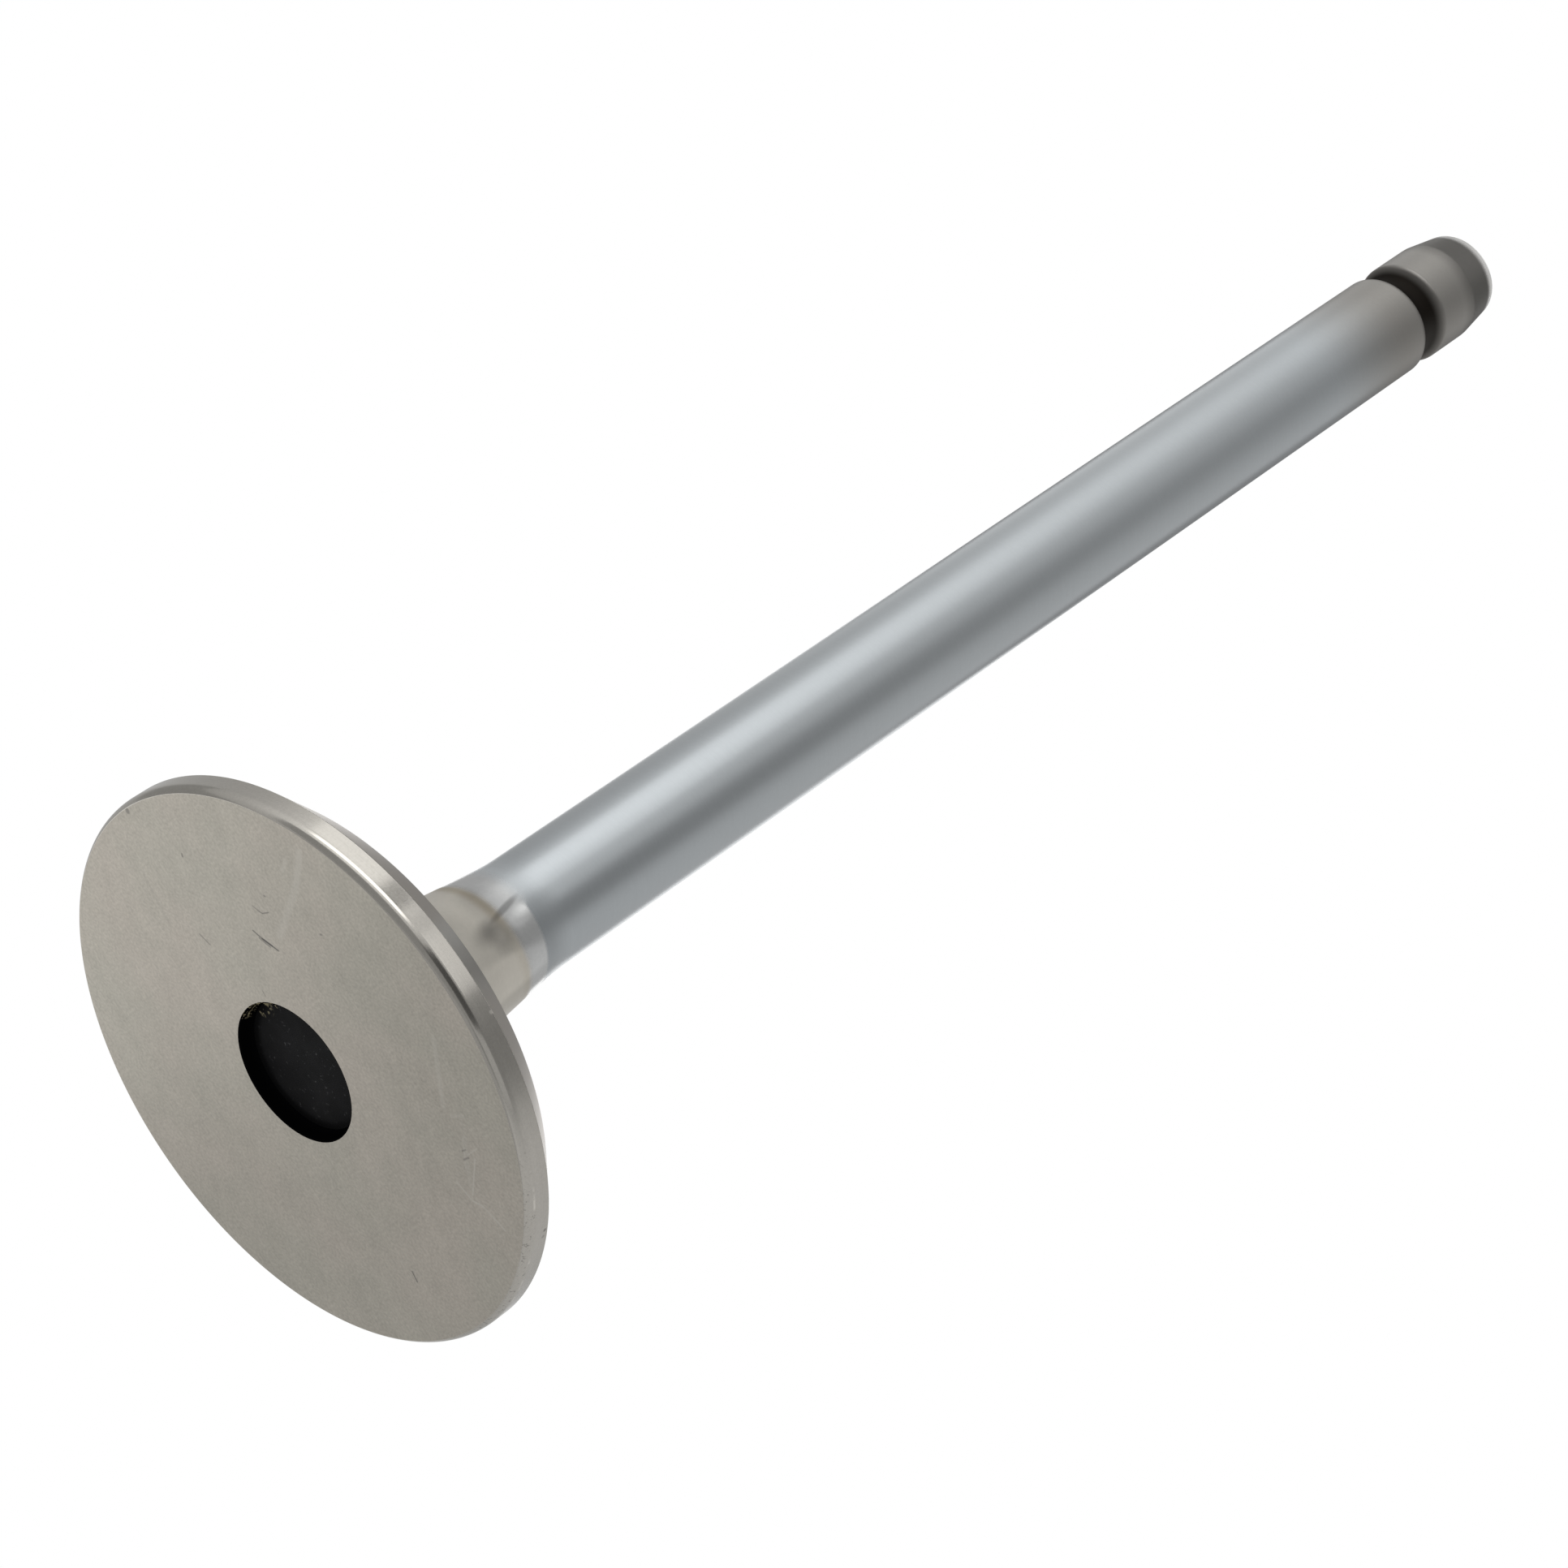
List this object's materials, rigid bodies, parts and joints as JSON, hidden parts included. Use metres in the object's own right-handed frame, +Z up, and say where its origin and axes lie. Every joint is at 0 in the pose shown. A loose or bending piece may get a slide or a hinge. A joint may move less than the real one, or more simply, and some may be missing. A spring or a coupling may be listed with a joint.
{
  "type": "engine valve",
  "caption": "Poppet valve for an engine: flat round head with a central recess, conical seat, swept neck, straight plated stem and a round keeper groove near the tapered tip.",
  "frame": {"origin": "middle of the flat combustion face, which the valve stands on", "axes": "+Z runs up the stem from the face to the tip; the valve is round about Z, so X and Y are free"},
  "size_m": [0.0454, 0.0454, 0.1515],
  "materials": {
    "valve_steel": "satin ground head, bright plated stem"
  },
  "bodies": {
    "root": {"engine_valve": "valve_steel"}
  },
  "joints": []
}
